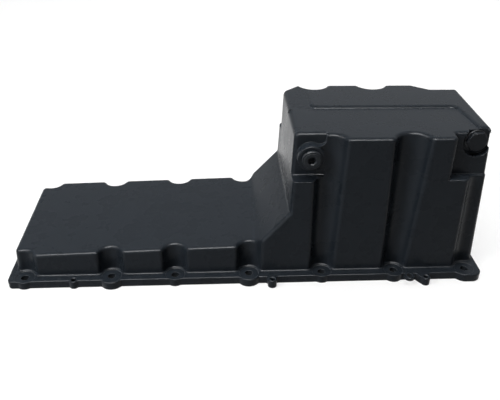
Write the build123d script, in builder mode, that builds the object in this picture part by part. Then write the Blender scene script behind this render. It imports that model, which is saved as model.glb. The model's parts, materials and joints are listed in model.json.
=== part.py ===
"""Cast engine oil pan, upside down: gasket face on z = 0, sump pointing up, X along the pan."""
import os
from math import radians, sqrt, tan

from build123d import *

os.makedirs("parts", exist_ok=True)

# ------------------------------------------------------------------ driving dimensions (mm, deg)
# mounting rail
pan_length = 554.6
pan_width = 183.8
rail_thick = 9.9
rail_corner_r = 6.0
corner_pad_r = 11.0
rail_edge_r = 1.4
lobe_blend_r = 2.5
# bolts: the back row is the front row turned half a turn
bolt_row = 84.2
bolt_pitch = 86.2
odd_bolt_x = 159.5
bolt_hole_r = 4.4
spotface_r = 11.3
spotface_depth = 0.5
spotface_clear = 5.0
lobe_small_r = 9.8
lobe_middle_r = 11.2
lobe_large_r = 13.4
# gasket tabs on the rail
tab_width = 10.5
tab_hole_r = 2.5
tab_chamfer = 0.8
tab_reach_left = 94.7
tab_reach_middle = 101.4
tab_reach_right = 103.2
tab_x_left = 202.3
tab_x_middle = 26.9
tab_x_right = 208.3
tab_web_run = 10.6
tab_web_drop = 7.6
dowel_x = 188.8
dowel_y = 96.2
dowel_r = 6.2
dowel_hole_r = 3.3
dowel_rise = 1.0
dowel_thick = 4.4
dowel_edge_r = 0.8
# walls
wall = 5.0
draft = 3.0
left_ledge = 7.2
right_ledge = 4.0
side_ledge = 10.1
foot_r = 2.4
corner_r = 5.5
notch_share = 0.5
inner_corner_r = 3.0
top_r = 4.2
wall_reach = 190.0
# leaning channels that clear the bolts
channel_r = 13.3
channel_flare = 1.85
channel_lean = 1.7
wide_channel_flare = 2.75
wide_channel_shift = 0.7
# side outline
roof_end = 38.2
roof_fold = 45.8
roof_fold_x = 9.0
roof_slope = 0.028
roof_fold_r = 14.0
ramp_top_x = 45.5
ramp_top = 88.0
ramp_r = 6.0
ramp_draft = 1.3
sump_height = 178.0
sump_corner_r = 7.0
seam_height = 115.0
# raised panel on the sump floor
step_rise = 2.6
step_x = 72.0
step_y = 4.3
step_r = 5.5
step_bevel = 9.0
step_turn_r = 6.5
rim_back_x = 244.0
rim_front_x = 250.0
rim_front = 53.7
# pockets cut into the sump corners
ledge_height = 127.5
pocket_floor = 59.9
pocket_floor_right = 61.4
pocket_left_end = 82.5
pocket_right_start = 222.8
pocket_back_start = 210.0
pocket_back_run = 20.0
pocket_inner_r = 3.0
pocket_end_r = 4.4
pocket_top_r = 4.4
ledge_r = 2.5
cove_r = 2.5
# slant across the back left sump corner
slant_start_x = 47.3
slant_start_y = 55.7
slant_end_x = 66.0
slant_end_y = 72.9
# drain pad and plug
drain_x = 66.0
drain_z = 152.5
pad_r = 15.0
pad_face = 69.2
pad_root = 55.7
pad_edge_r = 1.2
block_start = 72.5
block_low = 138.0
block_high = 165.5
block_r = 6.0
drain_shank_r = 8.0
drain_shank_length = 17.0
drain_collar_r = 11.0
drain_collar = 2.6
drain_step_r = 8.8
drain_step = 0.8
plug_edge = 0.8
drain_socket_flats = 8.0
drain_socket_depth = 7.0
drain_socket_chamfer = 0.8
magnet_r = 4.0
magnet_length = 6.0
magnet_proud = 1.0
# level port and plug
port_x = 250.3
port_z = 165.2
port_counterbore_r = 17.0
port_floor = 52.2
port_bore_r = 9.0
port_boss_r = 15.0
port_boss_end = 37.7
port_head_flats = 21.3
port_head = 5.0
port_head_chamfer = 1.0
port_shank_length = 12.0
# seals and fits
seal_thick = 1.5
seal_rim = 0.4
drain_seal_r = 10.6
port_seal_r = 12.4
thread_clearance = 0.1
# baffle
baffle_face = 41.5
baffle_thick = 1.5
baffle_start = 30.0
baffle_end = 236.0
baffle_gap = 2.5
baffle_corner_r = 4.0
pickup_x = 160.0
pickup_length = 62.0
pickup_width = 52.0
pickup_corner_r = 12.0
slot_length = 34.0
slot_width = 9.0
slot_pitch = 26.0
slot_x_left = 84.0
slot_x_right = 214.0
pillar_r = 7.0
pillar_y = 68.7
screw_r = 3.0
screw_depth = 14.0
screw_bore_depth = 17.0
screw_head_flats = 10.0
screw_head = 4.0
screw_washer_r = 6.5
screw_washer = 1.2
screw_edge = 0.6

# ------------------------------------------------------------------ derived places
front_x = [-3 * bolt_pitch, -odd_bolt_x, -bolt_pitch, 0.0, bolt_pitch, 2 * bolt_pitch, 3 * bolt_pitch]
front_bolts = [(x, -bolt_row) for x in front_x]
back_bolts = [(-x, bolt_row) for x in front_x]
bolts = front_bolts + back_bolts
wide_bolt = (2 * bolt_pitch, -bolt_row)
lobe_radii = [
    lobe_small_r, lobe_large_r, lobe_small_r, lobe_large_r, lobe_small_r, lobe_middle_r, lobe_large_r,
]
tabs = [(-tab_x_left, tab_reach_left), (tab_x_middle, tab_reach_middle), (tab_x_right, tab_reach_right)]
pillar_front_x = [bolt_pitch / 2, 1.5 * bolt_pitch, 2.5 * bolt_pitch]
pillar_back_x = [bolt_pitch / 2, (bolt_pitch + odd_bolt_x) / 2, (odd_bolt_x + 3 * bolt_pitch) / 2]
pillars = [(x, -pillar_y) for x in pillar_front_x] + [(x, pillar_y) for x in pillar_back_x]
slots = [(x, y) for x in (slot_x_left, slot_x_right) for y in (-slot_pitch, 0, slot_pitch)]
half_length = pan_length / 2
half_width = pan_width / 2
far = pan_length


def lean(height, angle):
    """Sideways run of a drafted face between the rail top and a height."""
    return (height - rail_thick) * tan(radians(angle))


def left_x_at(height):
    """Distance of the left end wall from the middle at a height."""
    return half_length - left_ledge - lean(height, draft)


def right_x_at(height):
    """Distance of the right end wall from the middle at a height."""
    return half_length - right_ledge - lean(height, draft)


def half_y_at(height):
    """Half width of the outer walls at a height."""
    return half_width - side_ledge - lean(height, draft)


def floor_y_at(height):
    """Distance of the drafted pocket floor from the middle plane at a height."""
    return pocket_floor - (height - ledge_height) * tan(radians(draft))


def right_floor_at(height):
    """Distance of the right pocket's drafted floor from the middle plane at a height."""
    return pocket_floor_right - (height - ledge_height) * tan(radians(draft))


def wall_outline(height, skin, round_r):
    """Plan outline of the walls at a height, notched by the bolt channels, set in by a skin."""
    run = lean(height, channel_lean)
    radius = channel_r + lean(height, channel_flare) + skin
    centres = [(x, y - run if y > 0 else y + run) for x, y in bolts if (x, y) != wide_bolt]
    wide_radius = channel_r + lean(height, wide_channel_flare) + skin
    wide_centre = (wide_bolt[0] + lean(height, wide_channel_shift), wide_bolt[1] + run)
    left = left_x_at(height) - skin
    right = right_x_at(height) - skin
    open_y = bolt_row - run - radius
    with BuildSketch(Plane.XY.offset(height)) as outline:
        with Locations(((right - left) / 2, 0)):
            Rectangle(left + right, 2 * (half_y_at(height) - skin))
        with Locations(*centres):
            Circle(radius, mode=Mode.SUBTRACT)
        with Locations(wide_centre):
            Circle(wide_radius, mode=Mode.SUBTRACT)
        # the two right-hand corner channels run out through the end wall
        with Locations(*[(3 * bolt_pitch + half_width, s * (open_y + half_width)) for s in (-1, 1)]):
            Rectangle(pan_width, pan_width, mode=Mode.SUBTRACT)
        plain = outline.vertices().filter_by(lambda v: v.X < right - 0.1)
        fillet(plain.filter_by(lambda v: abs(v.X - 3 * bolt_pitch) > 0.1), round_r)
        fillet(outline.vertices().group_by(Axis.X)[-1], notch_share * (right - 3 * bolt_pitch))
    return outline.sketch


def side_outline(top, inset):
    """Side view of everything below the roof line, the ramp and the sump floor."""
    sump_top_x = ramp_top_x + (top - ramp_top) * tan(radians(ramp_draft))
    end_height = roof_end - (far - half_length + rail_corner_r) * roof_slope
    with BuildSketch(Plane.XZ) as outline:
        with BuildLine():
            Polyline(
                (-far, -rail_thick),
                (-far, end_height),
                (roof_fold_x, roof_fold),
                (ramp_top_x, ramp_top),
                (sump_top_x, top),
                (far, top),
                (far, -rail_thick),
                close=True,
            )
        make_face()
        fillet(outline.vertices().sort_by_distance((roof_fold_x, roof_fold))[0], roof_fold_r)
        fillet(outline.vertices().sort_by_distance((ramp_top_x, ramp_top))[0], ramp_r)
        fillet(outline.vertices().sort_by_distance((sump_top_x, top))[0], sump_corner_r)
        if inset > 0:
            offset(amount=-inset)
    return outline.sketch


def corner_outline(height, side, skin):
    """Plan of what stays at a right-hand pocket, at a height; side is -1 for front, 1 for back."""
    wall_x = (pocket_back_start if side > 0 else pocket_right_start) - skin
    floor_x = wall_x + (pocket_back_run if side > 0 else 0)
    wall_y = side * (half_y_at(height) - skin)
    floor_y = side * (right_floor_at(height) - skin)
    end_x = right_x_at(height) - skin
    with BuildSketch(Plane.XY.offset(height)) as outline:
        with BuildLine():
            Polyline(
                (pocket_left_end, wall_y),
                (wall_x, wall_y),
                (floor_x, floor_y),
                (end_x, floor_y),
                (end_x, 0),
                (pocket_left_end, 0),
                close=True,
            )
        make_face()
        fillet(
            outline.vertices().sort_by_distance((wall_x, wall_y))[0], inner_corner_r if skin else corner_r
        )
        fillet(outline.vertices().sort_by_distance((floor_x, floor_y))[0], pocket_inner_r)
        fillet(
            outline.vertices().sort_by_distance((end_x, floor_y))[0], inner_corner_r if skin else pocket_end_r
        )
    return outline.sketch


def corner_block(side):
    """Plan rectangle that holds a whole right-hand pocket."""
    start = (pocket_back_start if side > 0 else pocket_right_start) - 2 * corner_r
    with Locations(((start + pan_length) / 2, side * half_width)):
        Rectangle(pan_length - start, half_width)


# ------------------------------------------------------------------ outer walls
with BuildPart() as walls:
    loft(sections=[wall_outline(h, 0, corner_r) for h in (0, wall_reach)], ruled=True)


def corner_cutter(side):
    """Tool for a right-hand pocket: a block less the keeper and the round-edged ledge."""
    with BuildPart() as ledge_block:
        add(walls.part)
        split(bisect_by=Plane.XY.offset(ledge_height), keep=Keep.BOTTOM)
        split(bisect_by=Plane.XY.offset(ledge_height / 2), keep=Keep.TOP)
        split(bisect_by=Plane.YZ.offset(2 * bolt_pitch), keep=Keep.TOP)
        rim_run = ledge_block.edges().filter_by(lambda e: e.bounding_box().min.Z > ledge_height - 0.1)
        fillet(rim_run.filter_by(lambda e: e.center().X > 2 * bolt_pitch + 0.1), ledge_r)
    with BuildPart() as keeper:
        sections = [corner_outline(h, side, 0) for h in (ledge_height - 2 * ledge_r, wall_reach)]
        loft(sections=sections, ruled=True)
    with BuildPart() as cutter:
        with BuildSketch(Plane.XY.offset(ledge_height - 2 * ledge_r)):
            corner_block(side)
        extrude(amount=sump_height)
        add(ledge_block.part, mode=Mode.SUBTRACT)
        add(keeper.part, mode=Mode.SUBTRACT)
    return cutter.part


def top_run(part):
    """Edges of the side outline that carry the large round along the roof, ramp and sump."""
    run = part.edges().filter_by(lambda e: e.bounding_box().min.Z > roof_end - ramp_r)
    cross = run.filter_by(
        lambda e: e.bounding_box().size.Y > half_width
        and e.bounding_box().max.X < step_x
        and e.bounding_box().min.X > -ramp_r
    )
    pocket = run.filter_by(
        lambda e: e.center().X > bolt_pitch
        and (e.bounding_box().size.Z > wall_reach - sump_height + pad_r or e.center().Z < block_low)
    )
    return [e for e in run if e not in cross and e not in pocket]


def outer_shape(top, low, high):
    """Drafted walls between two heights under the side outline, with pockets and top round."""
    with BuildPart() as shape:
        add(walls.part)
        for cutter in corner_cutters:
            add(cutter, mode=Mode.SUBTRACT)
        extrude(side_outline(top, 0), amount=pan_width, both=True, mode=Mode.INTERSECT)
        if low > 0:
            split(bisect_by=Plane.XY.offset(low), keep=Keep.TOP)
        if high < wall_reach:
            split(bisect_by=Plane.XY.offset(high), keep=Keep.BOTTOM)
        run = [e for e in top_run(shape) if e.bounding_box().max.Z > low + top_r / 4]
        fillet([e for e in run if e.bounding_box().min.Z < high - top_r / 4], top_r)
    return shape.part


corner_cutters = [corner_cutter(-1), corner_cutter(1)]
lower_shape = outer_shape(sump_height, 0, seam_height)
upper_shape = outer_shape(sump_height, seam_height, wall_reach)
high_shape = outer_shape(sump_height + step_rise, block_low, wall_reach)

# raised panel and rim on the sump floor
with BuildPart() as panel:
    with BuildSketch(Plane.XY.offset(sump_height - wall)) as panel_plan:
        with BuildLine():
            Polyline(
                (step_x, pan_width),
                (step_x, step_y + step_bevel),
                (step_x + step_bevel / 2, step_y),
                (rim_back_x, step_y),
                (rim_front_x, -rim_front),
                (pan_length, -rim_front),
                (pan_length, pan_width),
                close=True,
            )
        make_face()
        fillet(panel_plan.vertices().sort_by(Axis.X)[:4], step_turn_r)
    extrude(amount=wall + step_rise)
    fillet(panel.faces().sort_by(Axis.Z)[-1].edges(), step_r)
    add(high_shape, mode=Mode.INTERSECT)

# strip left of the raised panel, rising to its level at the back
with BuildPart() as strip:
    with BuildSketch(Plane.YZ):
        with BuildLine():
            Polyline(
                (step_y, sump_height - wall),
                (step_y, sump_height),
                (half_y_at(sump_height), sump_height + step_rise),
                (half_width, sump_height + step_rise),
                (half_width, sump_height - wall),
                close=True,
            )
        make_face()
    extrude(amount=step_x + step_turn_r)
    add(high_shape, mode=Mode.INTERSECT)

# front left pocket around the drain, as a block less a round-edged keeper
with BuildPart() as drain_keeper:
    with BuildSketch(Plane.YZ) as keeper_side:
        with BuildLine():
            Polyline(
                (-pan_width, ramp_top),
                (-pan_width, ledge_height),
                (-pocket_floor, ledge_height),
                (-floor_y_at(wall_reach), wall_reach),
                (0, wall_reach),
                (0, ramp_top),
                close=True,
            )
        make_face()
        fillet(keeper_side.vertices().sort_by_distance((-pocket_floor, ledge_height))[0], cove_r)
    extrude(amount=2 * bolt_pitch)
    extrude(side_outline(sump_height, 0), amount=pan_width, both=True, mode=Mode.INTERSECT)
    upper_run = drain_keeper.edges().filter_by(lambda e: e.bounding_box().min.Z > ledge_height + cove_r / 2)
    upper_run = upper_run.filter_by(lambda e: e.bounding_box().max.Y < -half_width / 2)
    upper_run = upper_run.filter_by(lambda e: e.center().X < 2 * bolt_pitch - 1)
    fillet(upper_run, pocket_top_r)

with BuildPart() as drain_cutter:
    with BuildSketch(Plane.XZ.offset(half_width / 2)) as cutter_face:
        with BuildLine():
            Polyline(
                (0, ledge_height),
                (pocket_left_end, ledge_height),
                (pocket_left_end, block_low),
                (block_start, block_low),
                (block_start, block_high),
                (pocket_left_end, block_high),
                (pocket_left_end, wall_reach),
                (0, wall_reach),
                close=True,
            )
        make_face()
        fillet(cutter_face.vertices().sort_by_distance((pocket_left_end, block_high))[0], block_r)
        fillet(cutter_face.vertices().sort_by_distance((pocket_left_end, block_low))[0], block_r / 2)
    extrude(amount=half_width)
    add(drain_keeper.part, mode=Mode.SUBTRACT)

# slanted back left corner: profile across the slant, round at the top
slant = Plane(
    origin=(slant_start_x, slant_start_y, 0),
    x_dir=(slant_start_y - slant_end_y, slant_end_x - slant_start_x, 0),
    z_dir=(slant_end_x - slant_start_x, slant_end_y - slant_start_y, 0),
)
slant_top = sump_height + step_rise
with BuildPart() as slant_cutter:
    with BuildSketch(slant):
        with BuildLine():
            Line((0, ledge_height), (0, slant_top - pocket_top_r))
            TangentArc((0, slant_top - pocket_top_r), (-pocket_top_r, slant_top), tangent=(0, 1))
            Polyline(
                (-pocket_top_r, slant_top),
                (-pocket_top_r, wall_reach),
                (half_width, wall_reach),
                (half_width, ledge_height),
                (0, ledge_height),
            )
        make_face()
    extrude(amount=half_width, both=True)

# ------------------------------------------------------------------ rail with lobes and tabs
with BuildSketch() as rail_outline:
    Rectangle(pan_length, pan_width)
    fillet(rail_outline.vertices(), rail_corner_r)
    for turn in (0, 180):
        with Locations(Rotation(0, 0, turn)):
            for x, radius in zip(front_x, lobe_radii):
                with Locations((x, -bolt_row)):
                    Circle(radius)
            for x, reach in tabs:
                with Locations((x, -reach + tab_width / 2)):
                    Circle(tab_width / 2)
                with Locations((x, -reach / 2)):
                    Rectangle(tab_width, reach - tab_width)
            with Locations((tab_x_right - tab_web_run / 2, -half_width)):
                Polygon(
                    (-tab_web_run / 2, 0),
                    (tab_web_run / 2 - tab_width / 2, -tab_web_drop),
                    (tab_web_run / 2, -tab_web_drop),
                    (tab_web_run / 2, 0),
                    align=None,
                )
            # squared pad at the large corner lobe
            pad_x = half_length - corner_pad_r
            pad_y = bolt_row + lobe_large_r - corner_pad_r
            with Locations((pad_x, -pad_y)):
                Circle(corner_pad_r)
            with Locations(((3 * bolt_pitch + pad_x) / 2, -pad_y - corner_pad_r / 2)):
                Rectangle(pad_x - 3 * bolt_pitch, corner_pad_r)
            with Locations((pad_x + corner_pad_r / 2, -pad_y + corner_pad_r / 2)):
                Rectangle(corner_pad_r, corner_pad_r)
    offset(amount=lobe_blend_r)
    offset(amount=-lobe_blend_r)

# ------------------------------------------------------------------ space inside the pan
inner_cutters = []
for side in (-1, 1):
    with BuildPart() as inner_keeper:
        sections = [corner_outline(h, side, wall) for h in (ledge_height - wall, wall_reach)]
        loft(sections=sections, ruled=True)
    with BuildPart() as inner_cutter:
        with BuildSketch(Plane.XY.offset(ledge_height - wall)):
            corner_block(side)
        extrude(amount=sump_height)
        add(inner_keeper.part, mode=Mode.SUBTRACT)
    inner_cutters.append(inner_cutter.part)

with BuildPart() as cavity:
    loft(
        sections=[wall_outline(h, wall, inner_corner_r) for h in (-wall, wall_reach)],
        ruled=True,
    )
    extrude(side_outline(sump_height, wall), amount=pan_width, both=True, mode=Mode.INTERSECT)
    for inner_cutter_part in inner_cutters:
        add(inner_cutter_part, mode=Mode.SUBTRACT)
    # wall behind the front left pocket
    with BuildSketch(Plane.YZ):
        with BuildLine():
            Polyline(
                (-half_width, ledge_height - wall),
                (wall - pocket_floor, ledge_height - wall),
                (wall - floor_y_at(wall_reach), wall_reach),
                (-half_width, wall_reach),
                close=True,
            )
        make_face()
    extrude(amount=pocket_left_end + wall, mode=Mode.SUBTRACT)
    # wall behind the slanted corner
    with BuildSketch(slant.offset(-half_width / 2)):
        Polygon(
            (-wall, ledge_height - wall),
            (half_width, ledge_height - wall),
            (half_width, wall_reach),
            (-wall, wall_reach),
            align=None,
        )
    extrude(amount=half_width, mode=Mode.SUBTRACT)
    # boss behind the level port
    with BuildSketch(Plane.XZ.offset(port_floor - wall)):
        with Locations((port_x, port_z)):
            Circle(port_counterbore_r + wall)
    extrude(amount=half_width, mode=Mode.SUBTRACT)
    with BuildSketch(Plane.XZ.offset(port_boss_end)):
        with Locations((port_x, port_z)):
            Circle(port_boss_r)
    extrude(amount=half_width, mode=Mode.SUBTRACT)
    # pillars that carry the baffle
    with BuildSketch(Plane.XY.offset(baffle_face)):
        with Locations(*pillars):
            Circle(pillar_r)
    extrude(amount=wall_reach, mode=Mode.SUBTRACT)

# ------------------------------------------------------------------ pan casting
with BuildPart() as drain_pad:
    with BuildSketch(Plane.XZ.offset(pad_root)):
        with Locations((drain_x, drain_z)):
            Circle(pad_r)
    extrude(amount=pad_face - pad_root)
    fillet(drain_pad.faces().sort_by(Axis.Y)[0].edges(), pad_edge_r)

# ring at the rail's edge, joined to it by a web
with BuildPart() as dowel_ring:
    with BuildSketch(Plane.XY.offset(rail_thick + dowel_rise - dowel_thick)):
        with Locations((dowel_x, -dowel_y)):
            Circle(dowel_r)
    extrude(amount=dowel_thick)
    fillet(dowel_ring.faces().sort_by(Axis.Z)[-1].edges(), dowel_edge_r)
    with BuildSketch(Plane.XY.offset(rail_thick + dowel_rise - dowel_thick)):
        with Locations((dowel_x, -(dowel_y + bolt_row) / 2)):
            Rectangle(dowel_r + dowel_hole_r, dowel_y - bolt_row)
    extrude(amount=dowel_thick - dowel_rise)

with BuildPart() as pan_casting:
    add(lower_shape)
    add(upper_shape)
    add(panel.part)
    add(strip.part)
    add(drain_cutter.part, mode=Mode.SUBTRACT)
    add(slant_cutter.part, mode=Mode.SUBTRACT)
    # pad the drain plug seats on, clear in front
    with BuildSketch(Plane.XZ.offset(pad_root)):
        with Locations((drain_x, drain_z)):
            Circle(pad_r)
    extrude(amount=half_width, mode=Mode.SUBTRACT)
    add(drain_pad.part)
    # rail under the walls
    extrude(rail_outline.sketch, amount=rail_thick)
    foot = pan_casting.edges().filter_by_position(Axis.Z, rail_thick - 0.1, rail_thick + 0.1)
    foot = foot.filter_by(
        lambda e: -left_x_at(rail_thick) - 0.2 < e.center().X < right_x_at(rail_thick) + 0.2
        and abs(e.center().Y) < half_y_at(rail_thick) + 0.2
    )
    fillet(foot, foot_r)
    rim = pan_casting.edges().filter_by_position(Axis.Z, rail_thick - 0.1, rail_thick + 0.1)
    rim = rim.filter_by(
        lambda e: abs(e.center().X) > half_length - rail_corner_r / 3
        or abs(e.center().Y) > half_width - rail_corner_r / 2
    )
    fillet(rim, rail_edge_r)
    # hollow
    add(cavity.part, mode=Mode.SUBTRACT)
    # bolt holes and spotfaces
    with BuildSketch(Plane.XY.offset(rail_thick - spotface_depth)):
        with Locations(*bolts):
            Circle(spotface_r)
    extrude(amount=spotface_clear, mode=Mode.SUBTRACT)
    with BuildSketch():
        with Locations(*bolts):
            Circle(bolt_hole_r)
    extrude(amount=rail_thick, mode=Mode.SUBTRACT)
    # dowel ring and tab holes
    add(dowel_ring.part)
    with BuildSketch():
        with Locations((dowel_x, -dowel_y)):
            Circle(dowel_hole_r)
    extrude(amount=rail_thick + dowel_rise, mode=Mode.SUBTRACT)
    tab_holes = [(x, tab_width / 2 - reach) for x, reach in tabs]
    tab_holes = tab_holes + [(-x, -y) for x, y in tab_holes]
    with Locations(*[(x, y, rail_thick) for x, y in tab_holes]):
        CounterSinkHole(tab_hole_r, tab_hole_r + tab_chamfer, depth=rail_thick)
    # drain hole
    with BuildSketch(Plane.XZ.offset(pad_face)):
        with Locations((drain_x, drain_z)):
            Circle(drain_shank_r + thread_clearance)
    extrude(amount=-half_width / 2, mode=Mode.SUBTRACT)
    # level port
    with BuildSketch(Plane.XZ.offset(port_floor)):
        with Locations((port_x, port_z)):
            Circle(port_counterbore_r)
    extrude(amount=half_width, mode=Mode.SUBTRACT)
    with BuildSketch(Plane.XZ.offset(port_floor)):
        with Locations((port_x, port_z)):
            Circle(port_bore_r + thread_clearance)
    extrude(amount=-half_width / 2, mode=Mode.SUBTRACT)
    # screw bores in the pillars
    with BuildSketch(Plane.XY.offset(baffle_face)):
        with Locations(*pillars):
            Circle(screw_r + thread_clearance)
    extrude(amount=screw_bore_depth, mode=Mode.SUBTRACT)
pan_casting.part.label = "pan_casting"
export_step(pan_casting.part, "parts/pan_casting.step")

# ------------------------------------------------------------------ drain plug, magnet and seal
drain_seat = pad_face + seal_thick
drain_face = drain_seat + drain_collar
with BuildPart() as drain_plug:
    with BuildSketch(Plane.XZ.offset(drain_seat)):
        with Locations((drain_x, drain_z)):
            Circle(drain_collar_r)
    extrude(amount=drain_collar)
    chamfer(drain_plug.faces().sort_by(Axis.Y)[0].edges(), plug_edge)
    with BuildSketch(Plane.XZ.offset(drain_face)):
        with Locations((drain_x, drain_z)):
            Circle(drain_step_r)
    extrude(amount=drain_step)
    with BuildSketch(Plane.XZ.offset(drain_seat)):
        with Locations((drain_x, drain_z)):
            Circle(drain_shank_r)
    extrude(amount=-drain_shank_length)
    chamfer(drain_plug.faces().sort_by(Axis.Y)[-1].edges(), plug_edge)
    with BuildSketch(Plane.XZ.offset(drain_face + drain_step)):
        with Locations((drain_x, drain_z)):
            RegularPolygon(drain_socket_flats / 2, 6, major_radius=False)
    extrude(amount=-drain_socket_depth, mode=Mode.SUBTRACT)
    with BuildSketch(Plane.XZ.offset(drain_face + drain_step)):
        with Locations((drain_x, drain_z)):
            Circle(drain_socket_flats / sqrt(3) + drain_socket_chamfer / 2)
    extrude(amount=-drain_socket_chamfer, taper=45, mode=Mode.SUBTRACT)
    with BuildSketch(Plane.XZ.offset(drain_seat - drain_shank_length)):
        with Locations((drain_x, drain_z)):
            Circle(magnet_r)
    extrude(amount=magnet_length - magnet_proud, mode=Mode.SUBTRACT)
drain_plug.part.label = "drain_plug"
export_step(drain_plug.part, "parts/drain_plug.step")

with BuildPart() as drain_plug_magnet:
    with BuildSketch(Plane.XZ.offset(drain_seat - drain_shank_length - magnet_proud)):
        with Locations((drain_x, drain_z)):
            Circle(magnet_r)
    extrude(amount=magnet_length)
    fillet(drain_plug_magnet.faces().sort_by(Axis.Y)[-1].edges(), seal_rim)
drain_plug_magnet.part.label = "drain_plug_magnet"
export_step(drain_plug_magnet.part, "parts/drain_plug_magnet.step")

with BuildPart() as drain_plug_seal:
    with BuildSketch(Plane.XZ.offset(pad_face)):
        with Locations((drain_x, drain_z)):
            Circle(drain_seal_r)
            Circle(drain_shank_r + thread_clearance, mode=Mode.SUBTRACT)
    extrude(amount=seal_thick)
    fillet(drain_plug_seal.edges().sort_by(SortBy.LENGTH)[-2:], seal_rim)
drain_plug_seal.part.label = "drain_plug_seal"
export_step(drain_plug_seal.part, "parts/drain_plug_seal.step")

# ------------------------------------------------------------------ level port plug and seal
port_seat = port_floor + seal_thick
with BuildPart() as port_plug:
    with BuildSketch(Plane.XZ.offset(port_seat)):
        with Locations((port_x, port_z)):
            RegularPolygon(port_head_flats / 2, 6, major_radius=False)
    extrude(amount=port_head)
    with BuildSketch(Plane.XZ.offset(port_seat + port_head)):
        with Locations((port_x, port_z)):
            Circle(port_head_flats / 2 - port_head_chamfer / 2)
    extrude(amount=-2 * port_head, taper=-60, mode=Mode.INTERSECT)
    with BuildSketch(Plane.XZ.offset(port_seat)):
        with Locations((port_x, port_z)):
            Circle(port_bore_r)
    extrude(amount=-port_shank_length)
    chamfer(port_plug.faces().sort_by(Axis.Y)[-1].edges(), plug_edge)
port_plug.part.label = "port_plug"
export_step(port_plug.part, "parts/port_plug.step")

with BuildPart() as port_plug_seal:
    with BuildSketch(Plane.XZ.offset(port_floor)):
        with Locations((port_x, port_z)):
            Circle(port_seal_r)
            Circle(port_bore_r + thread_clearance, mode=Mode.SUBTRACT)
    extrude(amount=seal_thick)
    fillet(port_plug_seal.edges().sort_by(SortBy.LENGTH)[-2:], seal_rim)
port_plug_seal.part.label = "port_plug_seal"
export_step(port_plug_seal.part, "parts/port_plug_seal.step")

# ------------------------------------------------------------------ baffle and its screws
baffle_low = baffle_face - baffle_thick
baffle_mid = (baffle_start + baffle_end) / 2
with BuildPart() as sump_baffle:
    add(wall_outline(baffle_low, wall + baffle_gap, inner_corner_r))
    extrude(amount=baffle_thick, dir=(0, 0, 1))
    with BuildSketch(Plane.XY.offset(baffle_low)) as sheet_cut:
        with Locations((baffle_mid, 0)):
            Rectangle(baffle_end - baffle_start, pan_width)
    extrude(amount=baffle_thick, mode=Mode.INTERSECT)
    with BuildSketch(Plane.XY.offset(baffle_low)) as pickup:
        with Locations((pickup_x, 0)):
            Rectangle(pickup_length, pickup_width)
        fillet(pickup.vertices(), pickup_corner_r)
    extrude(amount=baffle_thick, mode=Mode.SUBTRACT)
    with BuildSketch(Plane.XY.offset(baffle_low)):
        with Locations(*slots):
            SlotOverall(slot_length, slot_width)
    extrude(amount=baffle_thick, mode=Mode.SUBTRACT)
    with BuildSketch(Plane.XY.offset(baffle_low)):
        with Locations(*pillars):
            Circle(screw_r + thread_clearance)
    extrude(amount=baffle_thick, mode=Mode.SUBTRACT)
sump_baffle.part.label = "sump_baffle"
export_step(sump_baffle.part, "parts/sump_baffle.step")

with BuildPart() as baffle_screws:
    with BuildSketch(Plane.XY.offset(baffle_low)):
        with Locations(*pillars):
            Circle(screw_washer_r)
    extrude(amount=-screw_washer)
    with BuildSketch(Plane.XY.offset(baffle_low)):
        with Locations(*pillars):
            RegularPolygon(screw_head_flats / 2, 6, major_radius=False)
    extrude(amount=-screw_washer - screw_head)
    chamfer(baffle_screws.faces().group_by(Axis.Z)[0].edges(), screw_edge)
    with BuildSketch(Plane.XY.offset(baffle_low)):
        with Locations(*pillars):
            Circle(screw_r)
    extrude(amount=baffle_thick + screw_depth)
    chamfer(baffle_screws.faces().group_by(Axis.Z)[-1].edges(), screw_edge)
baffle_screws.part.label = "baffle_screws"
export_step(baffle_screws.part, "parts/baffle_screws.step")
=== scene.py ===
"""Studio scene for the engine oil pan: finishes, floor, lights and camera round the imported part."""

import json
import logging
import math
from dataclasses import dataclass, field, replace
from enum import Enum

import bpy
from mathutils import Matrix, Vector

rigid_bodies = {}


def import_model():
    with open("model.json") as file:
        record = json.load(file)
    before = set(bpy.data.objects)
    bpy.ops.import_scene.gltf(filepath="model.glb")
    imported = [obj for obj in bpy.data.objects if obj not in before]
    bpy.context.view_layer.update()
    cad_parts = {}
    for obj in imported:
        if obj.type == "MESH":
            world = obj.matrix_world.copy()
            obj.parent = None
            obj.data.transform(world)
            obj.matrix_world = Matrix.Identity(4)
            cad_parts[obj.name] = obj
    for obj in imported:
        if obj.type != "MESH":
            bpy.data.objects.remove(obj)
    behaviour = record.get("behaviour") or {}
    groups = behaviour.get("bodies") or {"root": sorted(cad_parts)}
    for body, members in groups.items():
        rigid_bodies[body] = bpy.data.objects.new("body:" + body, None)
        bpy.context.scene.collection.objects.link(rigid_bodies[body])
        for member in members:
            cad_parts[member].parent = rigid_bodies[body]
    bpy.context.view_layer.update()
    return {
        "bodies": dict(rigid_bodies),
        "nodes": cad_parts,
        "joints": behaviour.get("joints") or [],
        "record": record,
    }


logging.basicConfig(level=logging.INFO, format="%(message)s")
LOG = logging.getLogger("oil_pan")

Colour = tuple[float, float, float]
Point = tuple[float, float, float]
Socket = bpy.types.NodeSocket

WHITE = (1.0, 1.0, 1.0, 1.0)


class Slot(str, Enum):
    """Material slots of the record, one per node of the part."""

    CASTING = "pan_casting"
    DRAIN_PLUG = "drain_plug"
    DRAIN_MAGNET = "drain_plug_magnet"
    DRAIN_SEAL = "drain_plug_seal"
    PORT_PLUG = "port_plug"
    PORT_SEAL = "port_plug_seal"
    BAFFLE = "sump_baffle"
    SCREWS = "baffle_screws"


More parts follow.
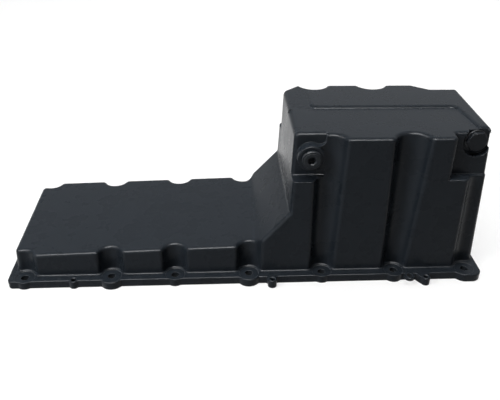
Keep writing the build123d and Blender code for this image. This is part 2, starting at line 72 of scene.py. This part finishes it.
class NodeBuilder:
    """Adds shader nodes to one tree and links them by socket name."""

    COLUMN_WIDTH = 220
    MIX_COLOUR_SOCKETS = (6, 7, 2)
    MIX_FLOAT_SOCKETS = (2, 3, 0)

    def __init__(self, tree: bpy.types.NodeTree) -> None:
        """Starts on a tree whose nodes are cleared.

        Args:
            tree: The node tree to fill.
        """
        self.tree = tree
        self.tree.nodes.clear()
        self._column = 0

    def add(self, kind: str, **values: object) -> bpy.types.Node:
        """Adds a node.

        Args:
            kind: The node's type name.
            values: Attributes of the node, or input values where the name starts with an
                upper-case letter (underscores stand for spaces).

        Returns:
            The new node.
        """
        node = self.tree.nodes.new(kind)
        node.location = (self.COLUMN_WIDTH * self._column, 0)
        self._column += 1
        for name, value in values.items():
            if name[0].isupper():
                node.inputs[name.replace("_", " ")].default_value = value
            else:
                setattr(node, name, value)
        return node

    def link(self, source: Socket, target: Socket) -> None:
        """Joins an output socket to an input socket."""
        self.tree.links.new(source, target)

    def ramp(self, source: Socket, low: float, high: float) -> Socket:
        """Stretches a value so that low becomes 0 and high becomes 1, clamped.

        Args:
            source: Socket that gives the value.
            low: Value that becomes 0.
            high: Value that becomes 1.

        Returns:
            The stretched output socket.
        """
        node = self.add("ShaderNodeMapRange", From_Min=low, From_Max=high)
        self.link(source, node.inputs["Value"])
        return node.outputs["Result"]

    def blend(
        self,
        factor: Socket,
        first: "Colour | float | Socket",
        second: "Colour | float | Socket",
    ) -> Socket:
        """Mixes two values by a factor, as colours where one of them is written as a colour.

        Args:
            factor: Socket that gives 0 for the first value and 1 for the second.
            first: Value at 0, or a socket that gives it.
            second: Value at 1, or a socket that gives it.

        Returns:
            The mixed output socket.
        """
        is_colour = isinstance(first, tuple) or isinstance(second, tuple)
        node = self.add("ShaderNodeMix", data_type="RGBA" if is_colour else "FLOAT")
        self.link(factor, node.inputs[0])
        at_0, at_1, out = self.MIX_COLOUR_SOCKETS if is_colour else self.MIX_FLOAT_SOCKETS
        for socket, value in ((node.inputs[at_0], first), (node.inputs[at_1], second)):
            if isinstance(value, Socket):
                self.link(value, socket)
            else:
                socket.default_value = (*value, 1.0) if is_colour else value
        return node.outputs[out]

    def end(self, source: Socket, kind: str = "ShaderNodeOutputMaterial") -> None:
        """Adds the tree's output node and gives it the finished surface.

        Args:
            source: Shader socket of the surface.
            kind: Type name of the output node.
        """
        self.link(source, self.add(kind).inputs["Surface"])


def new_material(name: str) -> tuple[bpy.types.Material, NodeBuilder]:
    """Makes a material with an empty node tree.

    Args:
        name: The material's name.

    Returns:
        The material and the builder of its tree.
    """
    material = bpy.data.materials.new(name)
    material.use_nodes = True
    return material, NodeBuilder(material.node_tree)


class SkinGroup:
    """Shader node group shared by all finishes: fine grain, slow swell and rounded edges.

    It puts out a fine mask (Speck), a slow mask (Cloud), a mask of the outer and inner edges
    (Edge) and the bumped normal.
    """

    NAME = "skin_grain"
    INPUTS = ("Grain Scale", "Grain Depth", "Swell Scale", "Swell Depth", "Edge Radius")
    MASKS = ("Speck", "Cloud", "Edge")
    GRAIN_DETAIL = 4.0
    GRAIN_ROUGHNESS = 0.6
    GRAIN_STRENGTH = 0.6
    SWELL_DETAIL = 5.0
    SWELL_ROUGHNESS = 0.55
    SWELL_STRENGTH = 0.5
    BEVEL_SAMPLES = 6
    SPECK_RANGE = (0.3, 0.7)
    CLOUD_RANGE = (0.35, 0.68)
    EDGE_RANGE = (0.995, 0.9)

    @classmethod
    def tree(cls) -> bpy.types.NodeTree:
        """Returns the group's tree, built on first use."""
        known = bpy.data.node_groups.get(cls.NAME)
        return known if known else cls._build()

    @classmethod
    def _build(cls) -> bpy.types.NodeTree:
        """Builds the group with its named inputs and outputs.

        Returns:
            The group's tree.
        """
        tree = bpy.data.node_groups.new(cls.NAME, "ShaderNodeTree")
        for name in cls.INPUTS:
            tree.interface.new_socket(name=name, in_out="INPUT", socket_type="NodeSocketFloat")
        for name in cls.MASKS:
            tree.interface.new_socket(name=name, in_out="OUTPUT", socket_type="NodeSocketFloat")
        tree.interface.new_socket(name="Normal", in_out="OUTPUT", socket_type="NodeSocketVector")
        nodes = NodeBuilder(tree)
        given = nodes.add("NodeGroupInput")
        place = nodes.add("ShaderNodeTexCoord")
        grain = nodes.add(
            "ShaderNodeTexNoise", Detail=cls.GRAIN_DETAIL, Roughness=cls.GRAIN_ROUGHNESS
        )
        swell = nodes.add(
            "ShaderNodeTexNoise", Detail=cls.SWELL_DETAIL, Roughness=cls.SWELL_ROUGHNESS
        )
        for texture, scale in ((grain, "Grain Scale"), (swell, "Swell Scale")):
            nodes.link(place.outputs["Object"], texture.inputs["Vector"])
            nodes.link(given.outputs[scale], texture.inputs["Scale"])
        bevel = nodes.add("ShaderNodeBevel", samples=cls.BEVEL_SAMPLES)
        nodes.link(given.outputs["Edge Radius"], bevel.inputs["Radius"])
        normal = bevel.outputs["Normal"]
        for texture, depth, strength in (
            (swell, "Swell Depth", cls.SWELL_STRENGTH),
            (grain, "Grain Depth", cls.GRAIN_STRENGTH),
        ):
            bump = nodes.add("ShaderNodeBump", Strength=strength)
            nodes.link(given.outputs[depth], bump.inputs["Distance"])
            nodes.link(texture.outputs["Fac"], bump.inputs["Height"])
            nodes.link(normal, bump.inputs["Normal"])
            normal = bump.outputs["Normal"]
        flat = nodes.add("ShaderNodeNewGeometry")
        match = nodes.add("ShaderNodeVectorMath", operation="DOT_PRODUCT")
        nodes.link(flat.outputs["Normal"], match.inputs[0])
        nodes.link(bevel.outputs["Normal"], match.inputs[1])
        result = nodes.add("NodeGroupOutput")
        nodes.link(nodes.ramp(grain.outputs["Fac"], *cls.SPECK_RANGE), result.inputs["Speck"])
        nodes.link(nodes.ramp(swell.outputs["Fac"], *cls.CLOUD_RANGE), result.inputs["Cloud"])
        nodes.link(nodes.ramp(match.outputs["Value"], *cls.EDGE_RANGE), result.inputs["Edge"])
        nodes.link(normal, result.inputs["Normal"])
        return tree


@dataclass(frozen=True)
class Skin:
    """One finish's values for the skin group, with its depths and radius in metres."""

    grain_scale: float
    grain_depth: float
    swell_scale: float
    swell_depth: float
    edge_radius: float

    def place(self, nodes: NodeBuilder) -> bpy.types.Node:
        """Adds the skin group to a material.

        Args:
            nodes: Builder of the material's tree.

        Returns:
            The group node.
        """
        return nodes.add(
            "ShaderNodeGroup",
            node_tree=SkinGroup.tree(),
            Grain_Scale=self.grain_scale,
            Grain_Depth=self.grain_depth,
            Swell_Scale=self.swell_scale,
            Swell_Depth=self.swell_depth,
            Edge_Radius=self.edge_radius,
        )


def surface(
    nodes: NodeBuilder, skin: bpy.types.Node, colour: Socket, rough: Socket, **even: float
) -> None:
    """Adds a material's shader and its output node.

    Args:
        nodes: Builder of the material's tree.
        skin: The skin group node, whose normal the surface takes.
        colour: Socket that gives the colour.
        rough: Socket that gives the roughness.
        even: Inputs of the shader that are the same all over, by name.
    """
    shader = nodes.add("ShaderNodeBsdfPrincipled", **even)
    nodes.link(colour, shader.inputs["Base Color"])
    nodes.link(rough, shader.inputs["Roughness"])
    nodes.link(skin.outputs["Normal"], shader.inputs["Normal"])
    nodes.end(shader.outputs["BSDF"])


@dataclass(frozen=True)
class BlackCoating:
    """Thin satin black coating, slowly clouded, and paler along its edges: partly rubbed wear, partly a
    painted highlight on the rounded edges.
    """

    name: str
    colour: Colour
    clouded: Colour
    # Colour along the edges: partly wear, partly a painted highlight on the rounded edges.
    edge: Colour
    roughness: float
    skin: Skin
    roughness_spread: float = 0.07
    specular: float = 0.085

    def build(self) -> bpy.types.Material:
        """Builds the material.

        Returns:
            The new material.
        """
        material, nodes = new_material(self.name)
        skin = self.skin.place(nodes)
        colour = nodes.blend(skin.outputs["Cloud"], self.colour, self.clouded)
        # Paler colour along the edges: partly rubbed wear, partly a painted highlight.
        colour = nodes.blend(skin.outputs["Edge"], colour, self.edge)
        rough = nodes.blend(skin.outputs["Cloud"], self.roughness, self.roughness + self.roughness_spread)
        surface(nodes, skin, colour, rough, Specular_IOR_Level=self.specular)
        return material


@dataclass(frozen=True)
class PlatedMetal:
    """Plated or plain metal with a fine grain and brighter edges."""

    name: str
    colour: Colour
    bright: Colour
    edge_gain: float = 1.5
    roughness: float = 0.34
    roughness_spread: float = 0.08
    metallic: float = 0.9
    skin: Skin = Skin(
        grain_scale=600.0,
        grain_depth=0.00004,
        swell_scale=90.0,
        swell_depth=0.00005,
        edge_radius=0.0004,
    )

    def build(self) -> bpy.types.Material:
        """Builds the material.

        Returns:
            The new material.
        """
        material, nodes = new_material(self.name)
        skin = self.skin.place(nodes)
        colour = nodes.blend(skin.outputs["Speck"], self.colour, self.bright)
        colour = nodes.blend(skin.outputs["Edge"], colour, tuple(self.edge_gain * c for c in self.bright))
        rough = nodes.blend(skin.outputs["Cloud"], self.roughness, self.roughness + self.roughness_spread)
        surface(nodes, skin, colour, rough, Metallic=self.metallic)
        return material


CAST_BLACK = BlackCoating(
    name="cast_black",
    colour=(0.0132, 0.0170, 0.0218),
    clouded=(0.0152, 0.0191, 0.0242),
    # Edge colour about four times the body colour: partly wear, partly a painted highlight on the
    # fillets.
    edge=(0.050, 0.056, 0.063),
    roughness=0.25,
    skin=Skin(
        grain_scale=900.0,
        grain_depth=0.00009,
        swell_scale=38.0,
        swell_depth=0.0002,
        edge_radius=0.0011,
    ),
)
PLUG_BLACK = BlackCoating(
    name="black_plated_plug",
    colour=(0.0205, 0.0240, 0.0285),
    clouded=(0.0235, 0.0275, 0.0320),
    # Paler edge colour: partly wear, partly a painted highlight round the plug's edges.
    edge=(0.060, 0.065, 0.072),
    roughness=0.27,
    skin=Skin(
        grain_scale=1500.0,
        grain_depth=0.00003,
        swell_scale=38.0,
        swell_depth=0.00005,
        edge_radius=0.0005,
    ),
)
HEAD_BLACK = replace(
    PLUG_BLACK,
    name="black_plated_head",
    colour=(0.0115, 0.0138, 0.0170),
    clouded=(0.0135, 0.0160, 0.0195),
)
SEAL_METAL = PlatedMetal("seal_metal", (0.02, 0.021, 0.023), (0.036, 0.037, 0.039))

FINISHES: dict[Slot, BlackCoating | PlatedMetal] = {
    Slot.CASTING: CAST_BLACK,
    Slot.DRAIN_PLUG: PLUG_BLACK,
    Slot.DRAIN_MAGNET: PlatedMetal("magnet_steel", (0.3, 0.3, 0.31), (0.38, 0.38, 0.39)),
    Slot.DRAIN_SEAL: SEAL_METAL,
    Slot.PORT_PLUG: HEAD_BLACK,
    Slot.PORT_SEAL: replace(SEAL_METAL, name="port_seal_metal"),
    Slot.BAFFLE: PlatedMetal("zinc_sheet", (0.32, 0.33, 0.34), (0.42, 0.43, 0.44), roughness=0.38),
    Slot.SCREWS: PlatedMetal("zinc_screw", (0.42, 0.42, 0.43), (0.5, 0.5, 0.51)),
}


class OilPan:
    """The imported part's own nodes, given their finishes."""

    def __init__(self, frame: dict) -> None:
        """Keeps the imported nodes.
        """
        self.nodes: dict[str, bpy.types.Object] = frame["nodes"]

    def finish(self) -> None:
        """Puts each node's finish in its own material slot."""
        for slot, recipe in FINISHES.items():
            node = self.nodes[slot.value]
            material = recipe.build()
            node.data.materials.clear()
            node.data.materials.append(material)
            LOG.info("finished %s", slot.value)


def seen_directly(nodes: NodeBuilder) -> Socket:
    """Adds nodes that tell the rays which show the background from those that only light.

    Args:
        nodes: Builder of the tree that needs the value.

    Returns:
        Socket that is 1 for camera, glossy and transmission rays and 0 for diffuse ones.
    """
    path = nodes.add("ShaderNodeLightPath")
    total = path.outputs["Is Camera Ray"]
    for name in ("Is Glossy Ray", "Is Transmission Ray"):
        step = nodes.add("ShaderNodeMath", operation="MAXIMUM")
        nodes.link(total, step.inputs[0])
        nodes.link(path.outputs[name], step.inputs[1])
        total = step.outputs["Value"]
    return total


@dataclass(frozen=True)
class StudioFloor:
    """Pale floor under the part, in a room whose walls get paler towards the ceiling.

    From below the floor lets everything through, so that the inside of the pan shows there.
    """

    size: float = 14.0
    drop: float = 0.0003
    colour: Colour = (0.36, 0.36, 0.36)
    roughness: float = 0.9
    glow: float = 0.66
    bounce: Colour = (0.04, 0.04, 0.045)
    wall_glow: float = 0.42
    ceiling_glow: float = 1.0
    wall_top: float = 0.75
    ambient: float = 0.04

    def build(self) -> bpy.types.Object:
        """Adds the floor plane and its material.

        Returns:
            The floor.
        """
        bpy.ops.object.select_all(action="DESELECT")
        bpy.ops.mesh.primitive_plane_add(size=self.size, location=(0.0, 0.0, -self.drop))
        floor = bpy.context.object
        floor.name = "studio_floor"
        material, nodes = new_material("floor_paint")
        seen = seen_directly(nodes)
        shader = nodes.add(
            "ShaderNodeBsdfPrincipled",
            Roughness=self.roughness,
            Specular_IOR_Level=0.0,
            Emission_Color=WHITE,
        )
        nodes.link(nodes.blend(seen, self.bounce, self.colour), shader.inputs["Base Color"])
        nodes.link(nodes.blend(seen, 0.0, self.glow), shader.inputs["Emission Strength"])
        side = nodes.add("ShaderNodeNewGeometry")
        clear = nodes.add("ShaderNodeBsdfTransparent")
        both = nodes.add("ShaderNodeMixShader")
        nodes.link(side.outputs["Backfacing"], both.inputs[0])
        nodes.link(shader.outputs["BSDF"], both.inputs[1])
        nodes.link(clear.outputs["BSDF"], both.inputs[2])
        nodes.end(both.outputs["Shader"])
        floor.data.materials.append(material)
        return floor

    def surround(self) -> bpy.types.World:
        """Makes the room: pale walls and ceiling where they show, and a dim even light.

        Returns:
            The scene's world.
        """
        world = bpy.data.worlds.new("studio")
        bpy.context.scene.world = world
        world.use_nodes = True
        nodes = NodeBuilder(world.node_tree)
        direction = nodes.add("ShaderNodeTexCoord")
        split = nodes.add("ShaderNodeSeparateXYZ")
        nodes.link(direction.outputs["Generated"], split.inputs["Vector"])
        climb = nodes.ramp(split.outputs["Z"], 0.0, self.wall_top)
        shown = nodes.blend(climb, self.wall_glow, self.ceiling_glow)
        room = nodes.add("ShaderNodeBackground", Color=WHITE)
        nodes.link(nodes.blend(seen_directly(nodes), self.ambient, shown), room.inputs["Strength"])
        nodes.end(room.outputs["Background"], "ShaderNodeOutputWorld")
        return world


class LampUse(Enum):
    """What a studio light does to the surfaces it reaches."""

    PLAIN = "lights them and shows in their gloss"
    FILL = "only lights them"
    GLEAM = "only shows in their gloss"


@dataclass(frozen=True)
class SoftBox:
    """One rectangular studio light aimed at a point."""

    name: str
    place: Point
    target: Point
    width: float
    height: float
    power: float
    use: LampUse = LampUse.PLAIN

    def build(self) -> bpy.types.Object:
        """Adds the area light, which the camera doesn't see.

        Returns:
            The lamp.
        """
        data = bpy.data.lights.new(self.name, "AREA")
        data.shape = "RECTANGLE"
        data.size = self.width
        data.size_y = self.height
        data.energy = self.power
        lamp = bpy.data.objects.new(self.name, data)
        bpy.context.scene.collection.objects.link(lamp)
        lamp.location = self.place
        aim = Vector(self.target) - Vector(self.place)
        lamp.rotation_euler = aim.to_track_quat("-Z", "Y").to_euler()
        lamp.visible_diffuse = self.use is not LampUse.GLEAM
        lamp.visible_glossy = self.use is not LampUse.FILL
        lamp.visible_camera = False
        return lamp


@dataclass(frozen=True)
class StudioCamera:
    """Camera above the drain side, turned a little along the pan. Its angles are in degrees."""

    place: Point = (-0.0369, -0.6272, 0.4582)
    pitch: float = 32.52
    yaw: float = 3.84
    roll: float = 1.2
    lens: float = 42.82
    sensor_width: float = 36.0
    reach: float = 100.0

    def build(self) -> bpy.types.Object:
        """Adds the camera and makes it the scene's own.

        Returns:
            The camera.
        """
        pitch, yaw, roll = (math.radians(a) for a in (self.pitch, self.yaw, self.roll))
        ahead = Vector(
            (math.sin(yaw) * math.cos(pitch), math.cos(yaw) * math.cos(pitch), -math.sin(pitch))
        )
        level = Vector((math.cos(yaw), -math.sin(yaw), 0.0))
        upright = level.cross(ahead)
        right = math.cos(roll) * level + math.sin(roll) * upright
        up = -math.sin(roll) * level + math.cos(roll) * upright
        turn = Matrix((right, up, -ahead)).transposed().to_4x4()
        data = bpy.data.cameras.new("camera")
        data.lens = self.lens
        data.sensor_width = self.sensor_width
        data.clip_end = self.reach
        camera = bpy.data.objects.new("camera", data)
        bpy.context.scene.collection.objects.link(camera)
        camera.matrix_world = Matrix.Translation(self.place) @ turn
        bpy.context.scene.camera = camera
        return camera


@dataclass(frozen=True)
class Studio:
    """Floor, lights and camera together."""

    floor: StudioFloor = field(default_factory=StudioFloor)
    camera: StudioCamera = field(default_factory=StudioCamera)
    lights: tuple[SoftBox, ...] = (
        SoftBox("ceiling_box", (-0.1, 0.1, 2.4), (0.0, 0.0, 0.1), 2.2, 0.8, 48.0, LampUse.FILL),
        SoftBox("left_key", (-1.2, -0.6, 1.1), (0.0, 0.0, 0.1), 0.5, 0.5, 17.0),
        SoftBox("low_fill", (-0.75, -0.9, 0.14), (-0.15, 0.0, 0.05), 0.6, 0.2, 1.8),
        SoftBox("back_fill", (0.5, 1.7, 1.8), (0.0, 0.0, 0.1), 1.5, 1.0, 16.0, LampUse.FILL),
        SoftBox("right_fill", (2.6, 0.5, 1.0), (0.0, 0.0, 0.1), 1.0, 1.0, 10.0, LampUse.FILL),
        SoftBox("under_light", (0.0, 0.0, -1.6), (0.0, 0.001, 0.0), 1.4, 0.8, 30.0),
        SoftBox("front_gleam", (-0.2, -1.6, 2.1), (0.0, 0.0, 0.1), 2.4, 0.7, 300.0, LampUse.GLEAM),
        SoftBox("left_gleam", (-1.4, -0.9, 0.9), (0.0, 0.0, 0.1), 0.4, 0.9, 8.0, LampUse.GLEAM),
    )

    def build(self) -> None:
        """Adds everything round the part."""
        self.floor.build()
        self.floor.surround()
        for light in self.lights:
            light.build()
        self.camera.build()
        bpy.context.scene.view_settings.view_transform = "Standard"


def main() -> None:
    """Builds the scene in order."""
    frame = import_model()
    OilPan(frame).finish()
    Studio().build()


if __name__ == "__main__":
    main()
